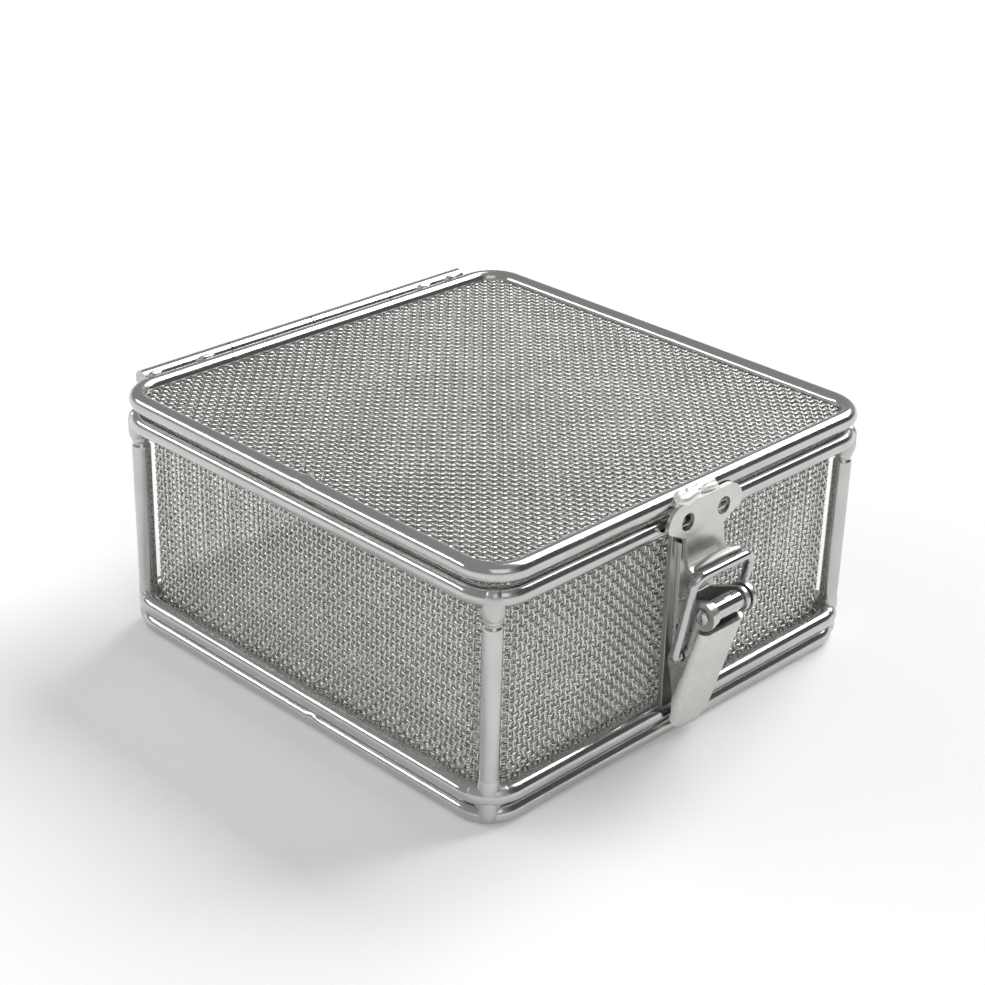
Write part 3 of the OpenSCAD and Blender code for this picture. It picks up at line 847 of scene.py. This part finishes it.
@dataclass
class ClothPanels:
    """The cloth of the walls, the floor and the lid.

    Attributes:
        cloth: How the cloth is woven.
        rods: The rods that hold it.
        wall_corner: Outer corner radius of the wall.
        wall_gap: Gap between the wall's wires and the rods.
        wall_rise: Heights of the wall's lower and upper edge.
        floor_gap: How far the floor's edge stays inside the middle of the wall.
        bite: How far the lid's wires run into its ring.
        lid_corner: Corner radius of the lid's cloth.
        lid_sag: How far the lid's cloth dips in its middle.
    """

    cloth: WireCloth = field(default_factory=WireCloth)
    rods: RodFrame = field(default_factory=RodFrame)
    wall_corner: float = 8.5
    wall_gap: float = 0.03
    wall_rise: Span = (7.4, 62.2)
    floor_gap: float = 0.6
    bite: float = 0.8
    lid_corner: float = 7.3
    lid_sag: float = 0.25

    def build(self, shop: Workshop) -> None:
        """Weaves all panels.

        Args:
            shop: Where the pieces go.
        """
        cloth, rods, gap = self.cloth, self.rods, self.floor_gap
        outer = rods.outline.half - rods.rod
        inset = cloth.wire + self.wall_gap
        wall = RoundedSquare(outer - inset, self.wall_corner - inset)
        lid_shape = (outer + self.bite, self.lid_corner, rods.lid_level)
        floor_shape = (wall.half - gap, wall.corner - gap, rods.bottom_level)
        for turned, word in ((False, "across"), (True, "along")):
            lid = cloth.flat_run(f"lid_cloth_{word}", *lid_shape, turned, self.lid_sag, cloth.sides)
            shop.hand_over(lid, Body.LID, "cloth", "lid_mesh")
            floor = cloth.flat_run(f"floor_cloth_{word}", *floor_shape, turned, 0.0, cloth.hidden_sides)
            shop.hand_over(floor, Body.BASKET, "cloth", "floor_mesh")
        back_off = 0.25 * np.pi * wall.corner
        near, far = -wall.quarter - back_off, wall.quarter - back_off
        for word, start, sides in (("near", near, cloth.sides), ("far", far, cloth.hidden_sides)):
            stretch = (start, 2.0 * wall.quarter)
            for upright, way in ((True, "uprights"), (False, "levels")):
                name = f"wall_cloth_{word}_{way}"
                run = cloth.wall_run(name, wall, stretch, self.wall_rise, upright, sides)
                shop.hand_over(run, Body.BASKET, "cloth", "wall_mesh")


# ---- welds ----


def lumpy_tube(
    path: Floats, side: Floats, normal: Floats, radius: Floats,
    sides: int, lumps: float, rate: float, seed: int,
) -> Surface:
    """An open tube whose surface rises and falls smoothly.

    Each vertex is moved along its radius by lumps times a smooth unevenness in its place times rate.

    Args:
        path: Points of its middle, n by 3.
        side: Unit vector or vectors across the path.
        normal: Unit vector or vectors that make a right-handed set with side and the path.
        radius: Radius at each point.
        sides: Corners of the section.
        lumps: Size of the unevenness as a share of the radius.
        rate: How fast it changes from place to place.
        seed: Its seed.

    Returns:
        Vertices and faces.
    """
    smooth = tube_grid(path, side, normal, radius, sides)
    centre = path[:, None, :]
    uneven = 1.0 + lumps * wobble(smooth * rate, seed, 7)
    points = centre + (smooth - centre) * uneven[..., None]
    return points.reshape(-1, 3), tube_faces(1, len(path), sides, False)


def round_ends(t: Floats, radius: float, blunt: float) -> Floats:
    """Radii R (1 - |t|^blunt)^(1/2) of a bead with round ends, with t from -1 to 1 along it."""
    return radius * np.sqrt(np.maximum(1.0 - np.abs(t * ROUND_END) ** blunt, 0.0))


def join_parts(parts: list[Surface]) -> Surface:
    """Puts several surfaces into one set of arrays.

    Args:
        parts: Vertices and faces of each.

    Returns:
        All vertices and all faces.
    """
    offsets = np.cumsum([0] + [len(points) for points, _ in parts])
    points = np.concatenate([points for points, _ in parts])
    faces = [f + offset for (_, group), offset in zip(parts, offsets) for f in group]
    return points, faces


@dataclass(frozen=True)
class Blob:
    """A blob of weld metal along the axis of a post.

    Attributes:
        low: Its lower end.
        high: Its upper end.
        radius: Its radius.
        shift: How far its middle stands out from the post's.
        blunt: How blunt its ends are.
    """

    low: float
    high: float
    radius: float
    shift: float
    blunt: float


@dataclass
class Welds:
    """All weld beads.

    Attributes:
        rods: The rods that they join.
        foot: The blob between the foot ring and the bottom ring at a corner.
        fillet: Reach each way, height and radius of the fillet beside it.
        cap: The cap on a post under the top ring.
        heel: The thickened foot of a post.
        skin: Length and thickness of weld metal on the bottom ring's corners, and how far its ends sink in.
        catch_lumps: Middle, length, place along Y, height and radius of each lump of the catch's bead.
        hinge_lumps: Middle and length of each bead between the outer knuckles and the lid ring.
        hinge_line: Place of these beads along Y, their height over the middle of that ring, and their radius.
    """

    rods: RodFrame = field(default_factory=RodFrame)
    foot: Blob = Blob(0.55, 8.4, 2.75, -0.15, 3.4)
    fillet: Point = (3.4, 5.3, 1.9)
    cap: Blob = Blob(RodFrame.cap_foot, 63.4, 2.9, 0.22, 3.6)
    heel: Blob = Blob(5.0, 15.5, 2.68, 0.0, 2.2)
    skin: Point = (8.6, 0.2, 0.06)
    catch_lumps: tuple[tuple[float, ...], ...] = (
        (-5.8, 8.6, -70.5, 67.5, 1.75),
        (-7.4, 5.0, -69.3, 67.98, 1.4),
        (-3.0, 7.0, -69.6, 67.98, 1.38),
        (1.4, 9.0, -69.2, 68.02, 1.28),
        (2.6, 6.4, -70.2, 67.5, 1.15),
        (-9.0, 3.0, -70.6, 66.6, 1.0),
    )
    hinge_lumps: tuple[Span, ...] = ((-55.6, 5.0), (-38.6, 6.0), (41.4, 5.5), (53.0, 6.0))
    hinge_line: Point = (70.2, 1.6, 1.1)

    def corner_place(self, sx: int, sy: int, inset: float = 0.0) -> Floats:
        """Middle of a ring's corner in plan.

        Args:
            sx: Side along X.
            sy: Side along Y.
            inset: How far the ring stands inside the others.

        Returns:
            The point at z = 0.
        """
        outline = self.rods.outline
        reach = outline.half - outline.corner * (1.0 - math.cos(math.radians(45))) - inset * 0.7
        return np.array([sx * reach, sy * reach, 0.0])

    def outward(self, sx: int, sy: int) -> Floats:
        """Direction from the middle of the basket through a corner."""
        return np.array([sx, sy, 0.0]) / math.sqrt(2.0)

    def upright_blob(self, sx: int, sy: int, blob: Blob, seed: int) -> Surface:
        """A blob of weld metal along the axis of a post, with round ends.

        Args:
            sx: Side along X.
            sy: Side along Y.
            blob: Its sizes.
            seed: Seed of its unevenness.

        Returns:
            Vertices and faces.
        """
        t = -np.cos(np.linspace(0.0, np.pi, 26))
        z = 0.5 * (blob.low + blob.high) + 0.5 * (blob.high - blob.low) * t
        path = self.corner_place(sx, sy) + blob.shift * self.outward(sx, sy) + z[:, None] * UP
        profile = round_ends(t, blob.radius, blob.blunt)
        return lumpy_tube(path, X_AXIS, Y_AXIS, profile, self.rods.sides, 0.035, 0.55, seed)

    def sleeve(self, middle: float, seed: int) -> Surface:
        """A thin uneven skin of weld metal over a corner of the bottom ring.

        Its radius is the rod's plus its thickness times (1 - t^2)^0.7, less how far its ends sink in.

        Args:
            middle: Distance along the ring's outline to its middle.
            seed: Seed of its unevenness.

        Returns:
            Vertices and faces.
        """
        t = np.linspace(-1.0, 1.0, 40)
        rods, (length, thick, sink) = self.rods, self.skin
        place, normal = rods.outline.walk((middle + 0.5 * length * t) % (4.0 * rods.outline.quarter))
        radius = rods.rod - sink + thick * (1.0 - t**2) ** 0.7
        path = place + rods.bottom_level * UP
        return lumpy_tube(path, UP[None], normal, radius, rods.sides, 0.02, 0.7, seed)

    def foot_welds(self) -> Piece:
        """The blobs that join the foot ring to the bottom ring under each corner."""
        parts = []
        reach, level, radius = self.fillet
        t = np.linspace(-1.0, 1.0, 24)
        along, profile = reach * t[:, None], round_ends(t, radius, 2.4)
        for number, (sx, sy, _) in enumerate(CORNERS):
            parts.append(self.upright_blob(sx, sy, self.foot, 50 + number))
            out = self.outward(sx, sy)
            start = self.corner_place(sx, sy, self.rods.foot_inset / 2.0) + level * UP + out * 0.3
            path = start + along * np.cross(out, UP) - 0.06 * along**2 * out
            parts.append(lumpy_tube(path, out[None], UP[None], profile, 14, 0.1, 0.9 / radius, 54 + number))
        return make_object("foot_weld_blobs", *join_parts(parts))

    def post_welds(self) -> Piece:
        """The caps under the top ring and the thickened feet of the posts on the bottom ring."""
        parts = []
        outline = self.rods.outline
        for number, (sx, sy, _) in enumerate(CORNERS):
            parts.append(self.upright_blob(sx, sy, self.cap, 60 + number))
            parts.append(self.upright_blob(sx, sy, self.heel, 64 + number))
            corner = {(1, -1): 0, (1, 1): 1, (-1, 1): 2, (-1, -1): 3}[(sx, sy)]
            middle = corner * outline.quarter + 0.5 * (outline.straight + outline.quarter)
            parts.append(self.sleeve(middle, 68 + number))
        return make_object("post_weld_caps", *join_parts(parts))

    def catch_bead(self) -> Piece:
        """The broad bead that joins the catch plate to the lid ring."""
        t = np.linspace(-1.0, 1.0, 34)
        parts = []
        for number, (middle, length, front, height, radius) in enumerate(self.catch_lumps):
            y = front + 0.12 * np.sin(4.5 * t + number)
            z = height + 0.12 * np.sin(3.5 * t + 2.0 * number)
            path = np.stack([middle + 0.5 * length * t, y, z], -1)
            profile = round_ends(t, radius, 3.0)
            parts.append(lumpy_tube(path, Y_AXIS, UP[None], profile, 20, 0.13, 0.9 / radius, 70 + number))
        return make_object("catch_weld_bead", *join_parts(parts))

    def hinge_beads(self) -> Piece:
        """The beads between the outer knuckles and the lid ring."""
        t = np.linspace(-1.0, 1.0, 24)
        y, rise, radius = self.hinge_line
        level, profile = self.rods.lid_level + rise, round_ends(t, radius, 3.0)
        parts = []
        for number, (middle, length) in enumerate(self.hinge_lumps):
            path = np.stack([middle + 0.5 * length * t, np.full_like(t, y), np.full_like(t, level)], -1)
            parts.append(lumpy_tube(path, Y_AXIS, UP[None], profile, 14, 0.2, 0.9 / radius, 90 + number))
        return make_object("hinge_weld_beads", *join_parts(parts))

    def build(self, shop: Workshop) -> None:
        """Makes all beads.

        Args:
            shop: Where the pieces go.
        """
        shop.hand_over(self.foot_welds(), Body.BASKET, "weld", "corner_welds")
        shop.hand_over(self.post_welds(), Body.BASKET, "weld")
        # The catch bead gets the near-white weld colour that carries its painted highlight
        shop.hand_over(self.catch_bead(), Body.LID, "weld_painted_highlight", "catch_weld")
        shop.hand_over(self.hinge_beads(), Body.LID, "weld", "lid_knuckle_welds")


# ---- latch ----


@dataclass
class Latch:
    """The toggle latch and its catch.

    Attributes:
        edge: Width of the broken edges of the pressed parts, in millimetres.
        sheet: Thickness of the bracket's sheet.
        base_half: Half the bracket's width.
        base_back: Its back face, against the back plate.
        base_low: Its lower edge.
        web_top: Upper edge of its web.
        strip_side: Width of the strip beside the hook.
        strip_top: Upper end of that strip.
        pivot: Place of the pin along Y and Z.
        ear: Radius of the ears.
        ear_root: How far below the pin an ear meets the web.
    """

    edge: float = 0.16
    sheet: float = 1.2
    base_half: float = 6.4
    base_back: float = -69.0
    base_low: float = 20.45
    web_top: float = 39.6
    strip_side: float = 1.6
    strip_top: float = 55.4
    pivot: Span = (-79.2, 39.7)
    ear: float = 3.4
    ear_root: float = 6.5

    def base_bracket(self) -> Piece:
        """The bracket behind the lever: a web, a narrow strip beside the hook, and two ears round the pin.

        Each plate is a flat outline carried along its thickness. An ear's outline is a half circle about the
        pin and two straight edges back to the web.

        Returns:
            The piece.
        """
        wide, sheet, back, front = self.base_half, self.sheet, self.base_back, self.base_back - self.sheet
        web = np.array(
            [
                [-wide, self.base_low],
                [wide, self.base_low],
                [wide, self.web_top],
                [self.strip_side - wide, self.web_top],
                [self.strip_side - wide, self.strip_top],
                [-wide, self.strip_top],
            ]
        )
        parts = [self.plate(web, 1, back, -sheet)]
        angle = np.linspace(0.5 * np.pi, 1.5 * np.pi, 25)
        py, pz = self.pivot
        arc = np.stack([py + self.ear * np.cos(angle), pz + self.ear * np.sin(angle)], -1)
        ear = np.concatenate([arc, [[front + 0.1, pz - self.ear_root], [front + 0.1, self.web_top]]])
        for start in (-wide, wide - sheet):
            parts.append(self.plate(ear, 0, start, sheet))
        piece = make_object("latch_base_bracket", *join_parts(parts), False)
        work = bmesh.new()
        work.from_mesh(piece.data)
        bmesh.ops.recalc_face_normals(work, faces=work.faces)
        work.to_mesh(piece.data)
        work.free()
        piece.data.shade_smooth()
        break_edges(piece, self.edge)
        return piece

    def plate(self, outline: Floats, axis: int, start: float, thick: float) -> Surface:
        """A flat outline carried along one axis.

        Args:
            outline: Corners in the other two axes, in their order.
            axis: 0 for X, 1 for Y.
            start: Where it starts on that axis.
            thick: How far it goes.

        Returns:
            Vertices and faces: the two outlines and the quads between them.
        """
        count = len(outline)
        near = np.insert(outline, axis, start, axis=1)
        far = np.insert(outline, axis, start + thick, axis=1)
        i = np.arange(count)
        after = (i + 1) % count
        quads = np.stack([i, after, after + count, i + count], -1)
        return np.concatenate([near, far]), [quads, i[None, ::-1], (i + count)[None, :]]

    def build(self, shop: Workshop) -> None:
        """Dresses the latch's parts.

        Args:
            shop: Where the pieces go.
        """
        shop.rounded("catch_plate", "catch_plate_pressed", self.edge, Body.LID, "sheet")
        shop.rounded("latch_lever", "lever_pressed", self.edge, Body.LEVER, "sheet")
        shop.hand_over(self.base_bracket(), Body.BASKET, "sheet", "latch_base")
        shop.rounded("latch_back_plate", "back_plate_cut", self.edge, Body.BASKET, "strip")
        shop.rounded("latch_spacer", "spacer_turned", self.edge, Body.BASKET, "polished")
        shop.rounded("latch_pivot_pin", "pivot_pin_riveted", self.edge * 1.6, Body.BASKET, "polished")


# ---- studio ----


@dataclass(frozen=True)
class Studio:
    """The camera, floor and lights.

    Attributes:
        angles: The camera's degrees from -Y towards +X, over the horizon, and about the line of sight.
        distance: Its distance from the target, in metres.
        target: What it looks at.
        focal_pixels: Focal length in pixels of the picture.
        picture: Width and height of the picture in pixels.
        sensor: Width of the sensor in millimetres.
        sight: How far the camera sees, in metres.
        floor_reach: Half the width of the floor, in millimetres.
        floor_color: Colour of the floor.
        floor_lift: Light that the floor shows to the camera and the metal beyond what falls on it.
        horizon: Brightness of the sky at the horizon.
        zenith: Brightness of the sky overhead.
        horizon_band: Heights of a direction between which one turns into the other.
        dark_side: Direction of the sky's darker side.
        dark_band: Shares of a direction towards that side between which the light fades.
        dark_share: Share of the light missing there.
        lamp_target: Where the lamps point, in metres.
        lamps: Name, place in metres, size in metres and power in watts of each lamp.
    """

    angles: Point = (-45.768, 26.296, -1.575)
    distance: float = 0.56978
    target: Point = (0.000201, -0.000187, 0.04118)
    focal_pixels: float = 2157.3
    picture: int = 985
    sensor: float = 36.0
    sight: float = 20.0
    floor_reach: float = 40000.0
    floor_color: Point = (0.92, 0.92, 0.92)
    floor_lift: float = 0.12
    horizon: float = 0.9
    zenith: float = 0.36
    horizon_band: Span = (0.0, 0.16)
    dark_side: Point = (0.66, -0.66, 0.36)
    dark_band: Span = (0.72, 0.9)
    dark_share: float = 0.7
    lamp_target: Point = (0.0, 0.0, 0.04)
    lamps: tuple[tuple[str, Point, Span, float], ...] = (
        ("left_back", (-6.6, 8.4, 5.64), (7.5, 1.6), 280.0),
        ("right", (6.6, 0.0, 6.84), (6.2, 5.0), 700.0),
        ("front", (-5.0, -9.0, 8.64), (9.0, 9.0), 200.0),
    )

    def camera(self) -> None:
        """Places the camera."""
        a, e, r = (math.radians(v) for v in self.angles)
        back = Vector((math.sin(a) * math.cos(e), -math.cos(a) * math.cos(e), math.sin(e)))
        right = (-back).cross(Vector((0.0, 0.0, 1.0))).normalized()
        up = right.cross(-back).normalized()
        rolled = math.cos(r) * right - math.sin(r) * up
        above = math.sin(r) * right + math.cos(r) * up
        data = bpy.data.cameras.new("camera")
        data.sensor_fit = "HORIZONTAL"
        data.sensor_width = self.sensor
        data.lens = self.focal_pixels / self.picture * self.sensor
        data.clip_end = self.sight
        camera = link_object("camera", data)
        place = Vector(self.target) + back * self.distance
        camera.matrix_world = Matrix.Translation(place) @ Matrix((rolled, above, back)).transposed().to_4x4()
        bpy.context.scene.camera = camera

    def floor(self) -> None:
        """Lays a plain pale floor.

        Seen by the camera or in the metal it gets a small lift of its own, so it reads white and keeps its
        shadow.
        """
        half = self.floor_reach
        corners = np.array([[-half, -half, 0.0], [half, -half, 0.0], [half, half, 0.0], [-half, half, 0.0]])
        floor = make_object("floor", corners, [np.array([[0, 1, 2, 3]])], False)
        material = bpy.data.materials.new("pale_floor")
        material.use_nodes = True
        tree = material.node_tree
        shader = tree.nodes["Principled BSDF"]
        shader.inputs["Base Color"].default_value = (*self.floor_color, 1.0)
        shader.inputs["Roughness"].default_value = 0.9
        shader.inputs["Specular IOR Level"].default_value = 0.1
        ray = tree.nodes.new("ShaderNodeLightPath")
        seen = add_math(tree, "MAXIMUM", ray.outputs["Is Camera Ray"], ray.outputs["Is Transmission Ray"])
        seen = add_math(tree, "MAXIMUM", seen, ray.outputs["Is Glossy Ray"])
        lift = add_math(tree, "MULTIPLY", seen, self.floor_lift)
        shader.inputs["Emission Color"].default_value = (1.0, 1.0, 1.0, 1.0)
        tree.links.new(lift, shader.inputs["Emission Strength"])
        floor.data.materials.append(material)

    def softbox(self, name: str, place: Point, size: Span, power: float) -> None:
        """Adds an area lamp that faces the basket.

        Args:
            name: Its name.
            place: Its place in metres.
            size: Its width and height in metres.
            power: Its power in watts.
        """
        lamp = bpy.data.lights.new(name, "AREA")
        lamp.shape = "RECTANGLE"
        lamp.size, lamp.size_y = size
        lamp.energy = power
        obj = link_object(name, lamp)
        obj.location = place
        aim = Vector(self.lamp_target) - Vector(place)
        obj.rotation_euler = aim.to_track_quat("-Z", "Y").to_euler()

    def sky(self) -> None:
        """Lights the studio from all round: white at the horizon, grey overhead, with a darker side.

        With z the height of a direction and k its share towards the dark side, the brightness is the zenith's
        grey blended to white as z falls to the horizon, less the shade's share where k is large.
        """
        world = bpy.data.worlds.new("studio")
        bpy.context.scene.world = world
        world.use_nodes = True
        tree = world.node_tree
        direction = tree.nodes.new("ShaderNodeTexCoord").outputs["Generated"]
        split = tree.nodes.new("ShaderNodeSeparateXYZ")
        tree.links.new(direction, split.inputs[0])
        lean = tree.nodes.new("ShaderNodeVectorMath")
        lean.operation = "DOT_PRODUCT"
        tree.links.new(direction, lean.inputs[0])
        lean.inputs[1].default_value = self.dark_side
        horizon = add_range(tree, split.outputs["Z"], *self.horizon_band, self.horizon, self.zenith)
        shade = add_range(tree, lean.outputs["Value"], *self.dark_band, 0.0, self.dark_share)
        above = add_range(tree, split.outputs["Z"], *self.horizon_band, 0.0, 1.0)
        keep = add_math(tree, "SUBTRACT", 1.0, add_math(tree, "MULTIPLY", shade, above))
        level = add_math(tree, "MULTIPLY", horizon, keep)
        back = tree.nodes["Background"]
        back.inputs["Strength"].default_value = 1.0
        tree.links.new(level, back.inputs["Color"])

    def build(self) -> None:
        """Sets up the whole studio."""
        self.camera()
        self.floor()
        self.sky()
        for name, place, size, power in self.lamps:
            self.softbox(name, place, size, power)
        bpy.context.scene.view_settings.view_transform = "Standard"


def main() -> None:
    """Builds the scene."""
    logging.basicConfig(level=logging.INFO, format="%(message)s")
    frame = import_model()
    Studio().build()
    shop = Workshop(frame)
    ClothPanels().build(shop)
    RodFrame().build(shop)
    Welds().build(shop)
    Latch().build(shop)


if __name__ == "__main__":
    main()
